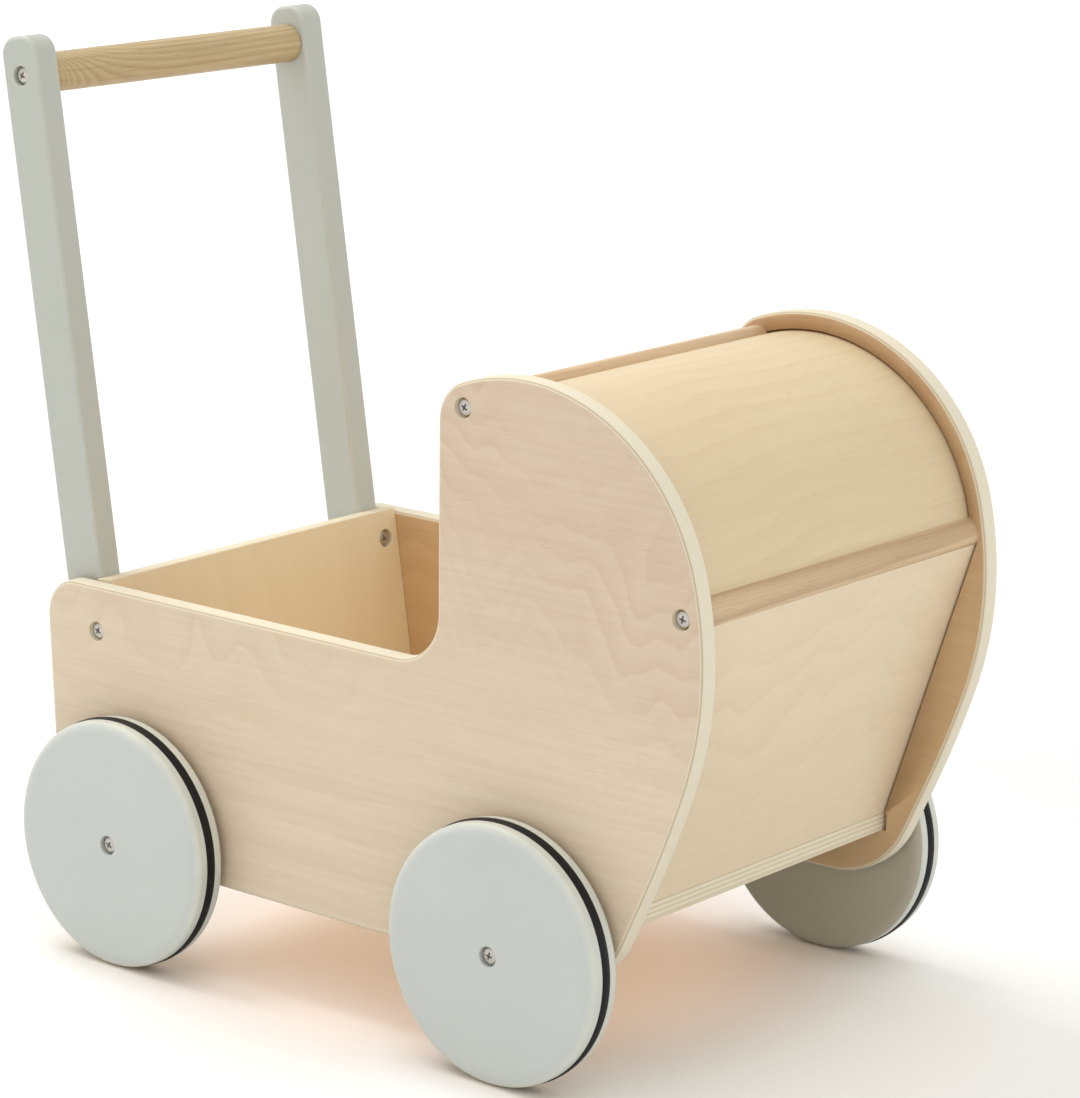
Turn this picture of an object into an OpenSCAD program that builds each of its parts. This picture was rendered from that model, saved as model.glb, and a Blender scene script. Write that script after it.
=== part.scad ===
// Toy pram for dolls: a plywood cradle with a bent plywood hood, on four
// wooden wheels, pushed by a round bar between two slanting uprights.
// +X points forward, from the handle to the hood, +Y to the left, +Z up.
// The origin is on the ground, in the middle of the pram's length and width.

/* [Body] */
// Width over the outer faces of the two side panels
body_w = 258; // [220:2:300]
// Plywood thickness of the side panels, the back panel and the floor
ply_t = 12; // [10:0.5:14]
// Thickness of the thin plywood in the hood and the front panel
sheet_t = 4; // [3:0.5:5]
// Height of the side panels' lower edge
bottom_z = 54; // [50:1:56]
// Height of the cradle's rim
rim_z = 207; // [195:1:215]
// Height of the floor's underside
floor_z = 84; // [82:1:90]
// How far the rim reaches behind the rear axle
rear_reach = 69.5; // [66:0.5:80]
// Slant of the side panels' rear edge, running forward going down
rear_slant = 3; // [0:0.5:5]
// Rounding of the side panels' two rear corners
rear_corner_r = 21.5; // [10:0.5:30]
// Depth of the grooves in the side panels that hold the floor and the thin plywood
groove_d = 5; // [3:0.5:6]

/* [Hood] */
// Distance from the rear axle forward to the hood's upright edge
hood_edge = 218; // [205:1:225]
// Rounding where the rim turns up into the hood's upright edge
dip_r = 28; // [15:1:35]
// Rounding of the hood's upper rear corner
hood_corner_r = 22.5; // [12:0.5:26]
// Distance from the rear axle forward to the centre of the hood's curve
hood_reach = 273; // [271:0.5:275]
// Height of the centre of the hood's curve
hood_centre_z = 251; // [249:0.5:253]
// Radius of the side panels over the hood
hood_r = 114; // [113:0.5:117]
// Radius of the side panels where the hood turns down to the front
cheek_r = 188; // [170:1:200]
// Radius of the long, nearly straight edge below that
chin_r = 610; // [500:1:700]
// Rounding of the side panels' lower front corner
toe_r = 55; // [40:1:58]
// Distance from the rear axle forward to the centre of the bent plywood
sheet_reach = 272.4; // [271.5:0.1:273.5]
// Height of the centre of the bent plywood
sheet_centre_z = 248.7; // [247.5:0.1:250]
// Outer radius of the bent plywood
sheet_r = 105.3; // [104:0.1:106]
// Diameter of the two round rails that hold the bent plywood's ends
rail_d = 16.5; // [14:0.5:18]
// Angle of the top rail behind the top of the hood's curve
top_rail_angle = 21.4; // [20:0.1:23]
// Angle of the front rail ahead of the top of the hood's curve
front_rail_angle = 83.9; // [82:0.1:86]

/* [Front panel] */
// Distance from the rear axle forward to the floor's front edge
front_foot = 327.7; // [325:0.1:330]
// Forward lean of the front panel from upright
front_lean = 18.45; // [17.5:0.05:19]

/* [Handle] */
// Backward lean of the uprights and the back panel
handle_lean = 8.73; // [8:0.01:9.5]
// Width of an upright, seen from the side
upright_w = 27; // [24:0.5:29]
// Thickness of an upright, seen from behind
upright_t = 17; // [15:0.5:19]
// Clear distance between the two uprights
handle_w = 196; // [190:1:198]
// Length from the ground to the uprights' tops, along their lean
upright_top = 510; // [440:1:540]
// Rounding of the uprights' tops
upright_round = 10.5; // [5:0.5:12]
// Diameter of the handle bar
bar_d = 22; // [18:0.5:24]
// Distance of the handle bar's centre below the uprights' tops
bar_drop = 21.5; // [18:0.5:30]

/* [Wheels] */
// Diameter over the rubber rings
wheel_d = 140; // [136:1:144]
// Thickness of a wheel
wheel_t = 21; // [18:0.5:24]
// Rounding of the wheels' two edges
wheel_round = 4; // [2:0.5:5]
// Width of a rubber ring
tyre_w = 5.8; // [5:0.1:7.5]
// Depth of a rubber ring's groove
tyre_groove_d = 3.5; // [2:0.1:4]
// How far a rubber ring stands out of its wheel
tyre_proud = 0.7; // [0.5:0.1:1.4]
// Gap between a side panel and a wheel
wheel_gap = 3; // [2:0.5:6]
// Distance between the axles
wheelbase = 274; // [268:1:278]

/* [Fasteners] */
// Diameter of the bolts' threaded shanks
bolt_d = 5; // [4:0.5:6]
// Diameter of the round heads on bolts and screws
head_d = 8.5; // [8:0.1:9.5]
// Radial running clearance between an axle bolt and its bush
bush_clearance = 0.06; // [0.02:0.01:0.1]

/* [Hidden] */
$fn = 96;

// Colours
birch = [0.86, 0.79, 0.68];
birch_light = [0.91, 0.84, 0.70];
pine = [0.80, 0.66, 0.45];
paint = [0.75, 0.77, 0.74];
rubber = [0.10, 0.10, 0.10];
steel = [0.72, 0.72, 0.70];
brass = [0.78, 0.64, 0.35];
nylon = [0.92, 0.92, 0.88];

// Places along the pram
half_length = 138;              // from the rear axle to the middle of the length
rear_axle_x = -half_length;
front_axle_x = rear_axle_x + wheelbase;
axle_z = wheel_d / 2;
rim_end_x = rear_axle_x - rear_reach;
hood_edge_x = rear_axle_x + hood_edge;
hood_c = [rear_axle_x + hood_reach, hood_centre_z];
sheet_c = [rear_axle_x + sheet_reach, sheet_centre_z];
front_foot_x = rear_axle_x + front_foot;

// Places across the pram
outer_y = body_w / 2;
inner_y = outer_y - ply_t;
wheel_y = outer_y + wheel_gap;  // the wheels' inner faces
wheel_outer_y = wheel_y + wheel_t;
upright_y = handle_w / 2;       // the uprights' inner faces

// Thin plywood
groove_gap = 1.2;               // open slit along the outside of the thin plywood
edge_gap = 0.5;                 // between the thin plywood's edges and the groove's floor
sheet_y = inner_y + groove_d - edge_gap;
sheet_mid_r = sheet_r - sheet_t / 2;
rail_grip = 4;                  // how far the thin plywood stops from a rail's centre
rebate_d = 2;                   // step along the floor's front edge and both sides
floor_step_z = floor_z + ply_t - rebate_d;
notch_l = 2.6;                  // how far the floor's groove runs on ahead of the floor
grip_angle = rail_grip / sheet_mid_r * 180 / PI;
top_rail_c = sheet_c + sheet_mid_r * dir(-top_rail_angle);
front_rail_c = sheet_c + sheet_mid_r * dir(front_rail_angle);

// The handle's own frame starts where the uprights' front faces, prolonged, meet the ground.
// Its Z runs up along the lean and its X forward, square to the back panel.
handle_foot_x = rear_axle_x - 10;
upright_foot = 92;
bar_h = upright_top - bar_drop;
back_h = (rim_z + 0.3) / cos(handle_lean);
back_foot = floor_z / cos(handle_lean);

// Bolts, screws, inserts and nuts
bolt_r = bolt_d / 2;
head_r = head_d / 2;
head_h = 3;
head_clearance = 1.15;          // between a head and the wall of its pocket
head_sink = 1.2;                // how deep the heads lie below the surface
pocket_d = head_h + head_sink;
recess_w = 4.2;                 // of the cross in a head
recess_d = 1.8;
insert_r = 4;
insert_l = 16;
bolt_in_insert = 13;
nut_r = 3.3;                    // of a flanged nut's barrel, sunk into the side panel
nut_l = 9;
flange_r = 9;
flange_t = 1.2;
bolt_past_nut = 1;
bush_r = 5;
hub_play = 0.3;                 // axial play on each side of a wheel
screw_r = 2;
screw_l = 34;                   // under the head
short_screw_l = 24;
screw_tip = 5;
upright_screw_y = upright_y + upright_t / 2;
upright_screw_h = [110, 192.8]; // along the lean
side_screw_h = [122, 182.5];    // along the lean
side_screw_x = 7;               // ahead of the back panel's rear face
floor_screw_y = [-78, 0, 78];

chord_error = 0.03;             // of the arcs in an outline
over = 1;                       // how far a cutter runs past the face it cuts

// Unit vector [x, z] at an angle turned forward from straight up
function dir(a) = [sin(a), cos(a)];

// Points of an arc about c, from angle a0 to angle a1
function arc(c, r, a0, a1) =
    let (n = ceil(abs(a1 - a0) / (2 * acos(1 - chord_error / r))))
    [for (i = [0 : n]) c + r * dir(a0 + (a1 - a0) * i / n)];

// Extrudes an [x, z] shape across the pram
module across(y0, y1) {
    translate([0, y1, 0]) rotate([90, 0, 0]) linear_extrude(y1 - y0) children();
}

// A child made for the left side, and its mirror image on the right
module both_sides() {
    children();
    mirror([0, 1, 0]) children();
}

// Turns a child's +Z to the left, at [x, z] and a distance across
module facing_left(c, y) {
    translate([c[0], y, c[1]]) rotate([-90, 0, 0]) children();
}

// The handle's leaning frame
module leaning() {
    translate([handle_foot_x, 0, 0]) rotate([0, -handle_lean, 0]) children();
}

// ---- Outlines, in [x, z] ----

// The edge runs over two rear corners, the dip, the hood, the cheek, the chin and the toe.
module side_outline() {
    cheek_a = 76;
    chin_a = 109;
    toe_a = 115;
    slant_a = -90 - rear_slant;
    rim_corner = [rim_end_x + rear_corner_r, rim_z - rear_corner_r];
    foot_corner_z = bottom_z + rear_corner_r;
    foot_corner = [rim_corner[0] + (rim_corner[1] - foot_corner_z) * tan(rear_slant), foot_corner_z];
    dip_c = [hood_edge_x - dip_r, rim_z + dip_r];
    corner_a = asin((hood_edge_x + hood_corner_r - hood_c[0]) / (hood_r - hood_corner_r));
    corner_c = hood_c + (hood_r - hood_corner_r) * dir(corner_a);
    cheek_c = hood_c - (cheek_r - hood_r) * dir(cheek_a);
    chin_c = cheek_c - (chin_r - cheek_r) * dir(chin_a);
    chin_end = chin_c + chin_r * dir(toe_a);
    toe_drop = chin_end[1] - bottom_z - toe_r * (1 + cos(toe_a));
    toe_top = chin_end + toe_drop / sin(toe_a) * [cos(toe_a), -sin(toe_a)];
    toe_c = toe_top - toe_r * dir(toe_a);
    polygon(concat(
        arc(foot_corner, rear_corner_r, -180, slant_a),
        arc(rim_corner, rear_corner_r, slant_a, 0),
        arc(dip_c, dip_r, 180, 90),
        arc(corner_c, hood_corner_r, -90, corner_a),
        arc(hood_c, hood_r, corner_a, cheek_a),
        arc(cheek_c, cheek_r, cheek_a, chin_a),
        arc(chin_c, chin_r, chin_a, toe_a),
        arc(toe_c, toe_r, toe_a, 180)
    ));
}

// A band round the bent plywood's centre between two radii, from rail to rail
module hood_band(r0, r1) {
    a0 = grip_angle - top_rail_angle;
    a1 = front_rail_angle - grip_angle;
    intersection() {
        translate(sheet_c) difference() {
            circle(r1, $fn = 256);
            circle(r0, $fn = 256);
        }
        polygon(concat([sheet_c], [for (i = [0 : 3]) sheet_c + 2 * r1 * dir(a0 + (a1 - a0) * i / 3)]));
    }
}

// A strip along the front panel, from the floor up into the front rail.
// It reaches from the outer face backward to t and forward to gap.
module front_strip(t, gap) {
    up = dir(front_lean);
    foot = [front_foot_x, floor_step_z];
    length = (front_rail_c - foot) * up - 2;
    run = 1 / cos(front_lean);
    top = foot + length * up;
    ahead = [up[1], -up[0]];
    polygon([foot + [gap * run, 0], top + gap * ahead, top - t * ahead, foot - [t * run, 0]]);
}

// ---- Fasteners, with the top of the head at z = 0 ----

module pan_head() {
    edge = 0.9;
    arm = [recess_w, recess_w / 4, 2 * recess_d];
    difference() {
        union() {
            translate([0, 0, -edge]) cylinder(r1 = head_r, r2 = head_r - edge, h = edge);
            translate([0, 0, -head_h]) cylinder(r = head_r, h = head_h - edge);
        }
        for (turn = [0, 90])
            rotate(turn) cube(arm, center = true);
        cylinder(d = recess_w / 2, h = 2 * recess_d, center = true);
    }
}

module bolt(length) {
    pan_head();
    translate([0, 0, -head_h - length]) cylinder(r = bolt_r, h = length);
}

// A wood screw's shank and point
module screw_shank(length) {
    translate([0, 0, screw_tip - head_h - length]) cylinder(r = screw_r, h = length - screw_tip);
    translate([0, 0, -head_h - length]) cylinder(r1 = 0.4, r2 = screw_r, h = screw_tip);
}

module screw(length) {
    pan_head();
    screw_shank(length);
}

// The pocket that a head lies in, below a surface at z = head_sink
module head_pocket() {
    translate([0, 0, -head_h]) cylinder(r = head_r + head_clearance, h = pocket_d + over);
}

// The pocket and hole that a wood screw is driven into
module screw_hole(length) {
    head_pocket();
    screw_shank(length);
}

module threaded_insert() {
    chamfer = 1;
    difference() {
        translate([0, 0, -insert_l]) cylinder(r = insert_r, h = insert_l);
        translate([0, 0, -insert_l - over]) cylinder(r = bolt_r, h = insert_l + 2 * over);
        translate([0, 0, -chamfer]) cylinder(r1 = bolt_r, r2 = bolt_r + chamfer, h = chamfer);
        cylinder(r = bolt_r + chamfer, h = over);
    }
}

module insert_hole() {
    translate([0, 0, -insert_l]) cylinder(r = insert_r, h = insert_l + over);
}

// ---- Body ----

rail_centres = [top_rail_c, front_rail_c];
axle_centres = [[rear_axle_x, axle_z], [front_axle_x, axle_z]];

// Where the side screws enter the left side panel
module at_side_screws() {
    for (h = side_screw_h)
        leaning() facing_left([side_screw_x, h], outer_y - head_sink) children();
}

module left_panel() {
    color(birch) difference() {
        across(inner_y, outer_y) side_outline();
        across(inner_y - over, inner_y + groove_d) {
            hood_band(sheet_r - sheet_t, sheet_r + groove_gap);
            front_strip(sheet_t, groove_gap);
            floor_tongue(notch_l);
        }
        for (c = rail_centres) {
            facing_left(c, outer_y - head_sink) head_pocket();
            across(inner_y - over, outer_y) translate(c) circle(bolt_r);
        }
        for (c = axle_centres) {
            across(inner_y - over, outer_y + over) translate(c) circle(bolt_r);
            across(inner_y - over, inner_y + nut_l) translate(c) circle(nut_r);
        }
        at_side_screws() screw_hole(screw_l);
    }
}

module left_side_panel() {
    left_panel();
}

module right_side_panel() {
    mirror([0, 1, 0]) left_panel();
}

// Where the screws through the back panel enter the left upright
module at_upright_screws() {
    for (h = upright_screw_h)
        leaning() translate([ply_t - head_sink, upright_screw_y, h]) rotate([0, 90, 0]) children();
}

// Where the screws through the back panel enter the floor's rear edge
module at_floor_screws() {
    for (y = floor_screw_y)
        leaning() translate([head_sink, y, back_foot + ply_t / 2]) rotate([0, -90, 0]) children();
}

module back_panel() {
    color(birch) difference() {
        leaning() translate([0, -inner_y, back_foot]) cube([ply_t, 2 * inner_y, back_h - back_foot]);
        both_sides() {
            at_upright_screws() screw_hole(screw_l);
            at_side_screws() screw_hole(screw_l);
        }
        at_floor_screws() screw_hole(short_screw_l);
    }
}

// The floor's rear edge is cut to the back panel's lean
function floor_rear(z) = [handle_foot_x + ply_t / cos(handle_lean) - z * tan(handle_lean), z];

// The lower layer of the floor, which runs into the grooves in the side panels
module floor_tongue(ahead) {
    front_x = front_foot_x + ahead;
    polygon([floor_rear(floor_z), floor_rear(floor_step_z), [front_x, floor_step_z], [front_x, floor_z]]);
}

// The upper layer stops at the side panels and behind the front panel's foot
module floor_top() {
    top = floor_z + ply_t;
    step_x = front_foot_x - sheet_t / cos(front_lean);
    polygon([floor_rear(floor_z), floor_rear(top), [step_x, top], [step_x, floor_z]]);
}

module floor_board() {
    color(birch) difference() {
        union() {
            across(-inner_y - groove_d, inner_y + groove_d) floor_tongue(0);
            across(-inner_y, inner_y) floor_top();
        }
        at_floor_screws() screw_shank(short_screw_l);
    }
}

module hood_sheet() {
    color(birch_light) across(-sheet_y, sheet_y) hood_band(sheet_r - sheet_t, sheet_r);
}

module front_panel() {
    color(birch_light) across(-sheet_y, sheet_y) front_strip(sheet_t, 0);
}

module rail(c) {
    color(pine) difference() {
        across(-inner_y, inner_y) translate(c) circle(d = rail_d);
        across(-inner_y - over, inner_y + over) {
            hood_band(sheet_r - sheet_t, sheet_r);
            front_strip(sheet_t, 0);
        }
        both_sides() facing_left(c, inner_y) insert_hole();
    }
}

module top_hood_rail() {
    rail(top_rail_c);
}

module front_hood_rail() {
    rail(front_rail_c);
}

// ---- Handle ----

bar_c = [-upright_w / 2, bar_h];

module upright_section() {
    r = upright_round;
    difference() {
        translate([-upright_w, upright_foot]) square([upright_w, upright_top - upright_foot]);
        translate([-upright_w - over, upright_top - r]) square([upright_w + 2 * over, r + over]);
    }
    translate([r - upright_w, upright_top - r]) square([upright_w - 2 * r, r]);
    for (x = [-r, r - upright_w])
        translate([x, upright_top - r]) circle(r);
}

module left_post() {
    color(paint) difference() {
        leaning() across(upright_y, upright_y + upright_t) upright_section();
        leaning() facing_left(bar_c, upright_y + upright_t - head_sink) head_pocket();
        leaning() across(upright_y - over, upright_y + upright_t) translate(bar_c) circle(bolt_r);
        at_upright_screws() screw_shank(screw_l);
    }
}

module left_upright() {
    left_post();
}

module right_upright() {
    mirror([0, 1, 0]) left_post();
}

module handle_bar() {
    color(pine) difference() {
        leaning() across(-upright_y, upright_y) translate(bar_c) circle(d = bar_d);
        both_sides() leaning() facing_left(bar_c, upright_y) insert_hole();
    }
}

// ---- Wheels, made on the left side with +Z to the left from the inner face ----

// Half of a rim's section: a rectangle with its two outer corners rounded
module rim_section(r, t, round) {
    square([r - round, t]);
    translate([0, round]) square([r, t - 2 * round]);
    for (y = [round, t - round])
        translate([r - round, y]) circle(round, $fn = 48);
}

module on_axle(x, side) {
    turned = side == "left" ? 0 : 1;
    mirror([0, turned, 0]) facing_left([x, axle_z], wheel_y) children();
}

module wheel(x, side) {
    rim_r = wheel_d / 2 - tyre_proud;
    tyre_in_r = rim_r - tyre_groove_d;
    color(paint) on_axle(x, side) difference() {
        rotate_extrude($fn = 180) rim_section(rim_r, wheel_t, wheel_round);
        translate([0, 0, (wheel_t - tyre_w) / 2]) difference() {
            cylinder(r = wheel_d, h = tyre_w);
            cylinder(r = tyre_in_r, h = tyre_w, $fn = 180);
        }
        translate([0, 0, -over]) cylinder(r = bush_r, h = wheel_t + 2 * over);
        translate([0, 0, wheel_t - pocket_d - hub_play]) cylinder(r = head_r + head_clearance, h = wheel_t);
    }
}

module tyre(x, side) {
    tyre_in_r = wheel_d / 2 - tyre_proud - tyre_groove_d;
    edge = 1.5;
    color(rubber) on_axle(x, side) translate([0, 0, (wheel_t - tyre_w) / 2]) difference() {
        rotate_extrude($fn = 180) rim_section(wheel_d / 2, tyre_w, edge);
        translate([0, 0, -over]) cylinder(r = tyre_in_r, h = tyre_w + 2 * over, $fn = 180);
    }
}

module bush(x, side) {
    color(nylon) on_axle(x, side) difference() {
        cylinder(r = bush_r, h = wheel_t - pocket_d - hub_play);
        translate([0, 0, -over]) cylinder(r = bolt_r + bush_clearance, h = wheel_t);
    }
}

// ---- Groups of like fasteners ----

module axle_bolts() {
    length = wheel_outer_y - pocket_d - inner_y + flange_t + bolt_past_nut;
    color(steel) both_sides() for (c = axle_centres)
        facing_left(c, wheel_outer_y - head_sink) bolt(length);
}

module axle_spacers() {
    color(steel) both_sides() for (c = axle_centres)
        facing_left(c, outer_y) difference() {
            cylinder(r = bush_r + 1, h = wheel_gap - hub_play);
            translate([0, 0, -over]) cylinder(r = bolt_r, h = wheel_gap + 2 * over);
        }
}

module axle_nuts() {
    color(steel) both_sides() for (c = axle_centres)
        facing_left(c, inner_y) difference() {
            union() {
                cylinder(r = nut_r, h = nut_l);
                translate([0, 0, -flange_t]) cylinder(r = flange_r, h = flange_t);
            }
            translate([0, 0, -flange_t - over]) cylinder(r = bolt_r, h = nut_l + flange_t + 2 * over);
        }
}

module hood_bolts() {
    color(steel) both_sides() for (c = rail_centres)
        facing_left(c, outer_y - head_sink) bolt(ply_t - pocket_d + bolt_in_insert);
}

module hood_inserts() {
    color(brass) both_sides() for (c = rail_centres)
        facing_left(c, inner_y) threaded_insert();
}

module handle_bolts() {
    color(steel) both_sides() leaning()
        facing_left(bar_c, upright_y + upright_t - head_sink) bolt(upright_t - pocket_d + bolt_in_insert);
}

module handle_inserts() {
    color(brass) both_sides() leaning() facing_left(bar_c, upright_y) threaded_insert();
}

module upright_screws() {
    color(steel) both_sides() at_upright_screws() screw(screw_l);
}

module side_screws() {
    color(steel) both_sides() at_side_screws() screw(screw_l);
}

module rear_floor_screws() {
    color(steel) at_floor_screws() screw(short_screw_l);
}

right_side_panel();
left_side_panel();
back_panel();
floor_board();
hood_sheet();
front_panel();
top_hood_rail();
front_hood_rail();
right_upright();
left_upright();
handle_bar();
wheel(rear_axle_x, "right");  // rear_right_wheel
wheel(rear_axle_x, "left");  // rear_left_wheel
wheel(front_axle_x, "right");  // front_right_wheel
wheel(front_axle_x, "left");  // front_left_wheel
tyre(rear_axle_x, "right");  // rear_right_tyre
tyre(rear_axle_x, "left");  // rear_left_tyre
tyre(front_axle_x, "right");  // front_right_tyre
tyre(front_axle_x, "left");  // front_left_tyre
bush(rear_axle_x, "right");  // rear_right_bush
bush(rear_axle_x, "left");  // rear_left_bush
bush(front_axle_x, "right");  // front_right_bush
bush(front_axle_x, "left");  // front_left_bush
axle_bolts();
axle_spacers();
axle_nuts();
hood_bolts();
hood_inserts();
handle_bolts();
handle_inserts();
upright_screws();
side_screws();
rear_floor_screws();
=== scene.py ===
import math

import bmesh
import bpy
import numpy as np
from mathutils import Matrix, Vector, noise


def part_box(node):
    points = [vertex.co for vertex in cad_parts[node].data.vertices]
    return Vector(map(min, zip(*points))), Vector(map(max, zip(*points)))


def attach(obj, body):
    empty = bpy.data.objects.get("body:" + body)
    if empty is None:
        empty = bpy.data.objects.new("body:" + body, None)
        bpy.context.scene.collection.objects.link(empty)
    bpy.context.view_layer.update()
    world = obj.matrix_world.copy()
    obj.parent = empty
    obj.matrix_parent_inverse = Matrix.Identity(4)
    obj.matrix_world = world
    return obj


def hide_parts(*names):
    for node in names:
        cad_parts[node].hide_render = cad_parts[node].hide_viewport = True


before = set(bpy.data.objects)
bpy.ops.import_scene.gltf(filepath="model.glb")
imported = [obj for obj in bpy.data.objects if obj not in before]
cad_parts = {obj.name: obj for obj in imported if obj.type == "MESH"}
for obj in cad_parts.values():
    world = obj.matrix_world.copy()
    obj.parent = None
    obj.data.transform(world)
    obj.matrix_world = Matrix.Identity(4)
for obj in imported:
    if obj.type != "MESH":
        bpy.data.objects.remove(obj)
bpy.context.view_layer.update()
print("frame loaded:", len(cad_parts), "parts")

mm = 0.001
scene = bpy.context.scene
side = Vector((0, 1, 0))
leanAngle = math.radians(8.73)  # the handle and the back panel lean back by this
leanUp = Vector((-math.sin(leanAngle), 0, math.cos(leanAngle)))
leanFront = Vector((math.cos(leanAngle), 0, math.sin(leanAngle)))


# shader helpers

def addNode(tree, kind, feeds=None, **settings):
    made = tree.nodes.new("ShaderNode" + kind)
    for key, value in settings.items():
        setattr(made, key, value)
    for key, value in (feeds or {}).items():
        if isinstance(value, bpy.types.NodeSocket):
            tree.links.new(value, made.inputs[key])
        else:
            made.inputs[key].default_value = value
    return made


def calc(tree, operation, a, b=0.0, c=0.0):
    return addNode(tree, "Math", {0: a, 1: b, 2: c}, operation=operation).outputs[0]


def times(tree, a, b):
    return calc(tree, "MULTIPLY", a, b)


def split(tree, vector):
    return addNode(tree, "SeparateXYZ", {0: vector}).outputs


def clouds(tree, vector, factors, detail=2.0, rough=0.5):
    # noise whose scale is given for each direction, per metre
    scaled = addNode(tree, "VectorMath", {0: vector, 1: factors}, operation="MULTIPLY").outputs[0]
    feeds = {"Vector": scaled, "Scale": 1.0, "Detail": detail, "Roughness": rough}
    return addNode(tree, "TexNoise", feeds).outputs["Fac"]


def ramp(tree, value, low, high, toLow=0.0, toHigh=1.0):
    feeds = {"Value": value, "From Min": low, "From Max": high, "To Min": toLow, "To Max": toHigh}
    return addNode(tree, "MapRange", feeds, interpolation_type="SMOOTHSTEP").outputs["Result"]


def blendColour(tree, factor, a, b, mode="MIX"):
    made = addNode(tree, "Mix", data_type="RGBA", blend_type=mode)
    for index, value in ((0, factor), (6, a), (7, b)):
        if isinstance(value, bpy.types.NodeSocket):
            tree.links.new(value, made.inputs[index])
        else:
            made.inputs[index].default_value = value
    return made.outputs[2]


def linear(red, green, blue):
    # a colour picked on screen, 0 to 255, as the shader wants it
    def one(c):
        c /= 255
        return c / 12.92 if c <= 0.04045 else ((c + 0.055) / 1.055) ** 2.4
    return (one(red), one(green), one(blue), 1.0)


def newGroup(name, inputs, outputs):
    tree = bpy.data.node_groups.new(name, "ShaderNodeTree")
    for label, kind, value in inputs:
        socket = tree.interface.new_socket(label, in_out="INPUT", socket_type="NodeSocket" + kind)
        if value is not None:
            socket.default_value = value
    for label in outputs:
        tree.interface.new_socket(label, in_out="OUTPUT", socket_type="NodeSocketFloat")
    return tree, tree.nodes.new("NodeGroupInput").outputs, tree.nodes.new("NodeGroupOutput").inputs


def useGroup(tree, group, **feeds):
    made = tree.nodes.new("ShaderNodeGroup")
    made.node_tree = group
    for key, value in feeds.items():
        label = "".join(" " + c if c.isupper() else c for c in key).strip().title()
        if isinstance(value, bpy.types.NodeSocket):
            tree.links.new(value, made.inputs[label])
        else:
            made.inputs[label].default_value = value
    return made.outputs


# shared effects

def makeVeneerGroup():
    # peeled veneer: long wavy contour lines, fine fibres, short dark pores
    tree, given, out = newGroup(
        "peeledVeneer",
        [("Coords", "Vector", None), ("Rings", "Float", 60.0), ("Sway", "Float", 5.0),
         ("Flame", "Float", 1.0), ("Calm Below", "Float", -9.0)],
        ["Figure", "Fibre", "Pores", "Tone"])
    p = given["Coords"]
    across = split(tree, p)[1]
    # the figure is calm and straight below one height, and wild above it
    wild = ramp(tree, calc(tree, "SUBTRACT", across, given["Calm Below"]), 0.0, 0.08, 0.12, 1.0)
    broad = calc(tree, "SUBTRACT", clouds(tree, p, (3.2, 5.5, 0.0), 1.5, 0.45), 0.5)
    jagged = calc(tree, "SUBTRACT", clouds(tree, p, (15.0, 6.0, 0.0), 2.2), 0.5)
    sway = times(tree, broad, times(tree, given["Sway"], ramp(tree, wild, 0.0, 1.0, 0.3, 1.0)))
    rise = calc(tree, "MULTIPLY_ADD", across, given["Rings"], sway)
    rise = calc(tree, "MULTIPLY_ADD", times(tree, jagged, wild), given["Flame"], rise)
    # each contour starts sharp and fades out
    saw = calc(tree, "FRACT", rise)
    fade = calc(tree, "POWER", calc(tree, "SUBTRACT", 1.0, saw), 1.5)
    fade = times(tree, fade, ramp(tree, wild, 0.1, 1.0, 0.45, 1.0))
    strength = ramp(tree, clouds(tree, p, (5.0, 7.0, 0.0), 1.0), 0.35, 0.6, 0.2, 1.0)
    line = times(tree, ramp(tree, saw, 0.0, 0.12), fade)
    tree.links.new(times(tree, line, strength), out["Figure"])
    coarse = clouds(tree, p, (7.0, 330.0, 40.0), 2.0, 0.6)
    fine = clouds(tree, p, (45.0, 1900.0, 300.0), 2.0, 0.6)
    tree.links.new(calc(tree, "MULTIPLY_ADD", fine, 0.45, times(tree, coarse, 0.55)), out["Fibre"])
    dashes = clouds(tree, p, (95.0, 2300.0, 0.0), 1.0)
    where = ramp(tree, clouds(tree, p, (9.0, 26.0, 0.0)), 0.42, 0.62)
    tree.links.new(times(tree, ramp(tree, dashes, 0.64, 0.74), where), out["Pores"])
    tree.links.new(clouds(tree, p, (4.0, 11.0, 0.0), 2.0, 0.55), out["Tone"])
    return tree


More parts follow.
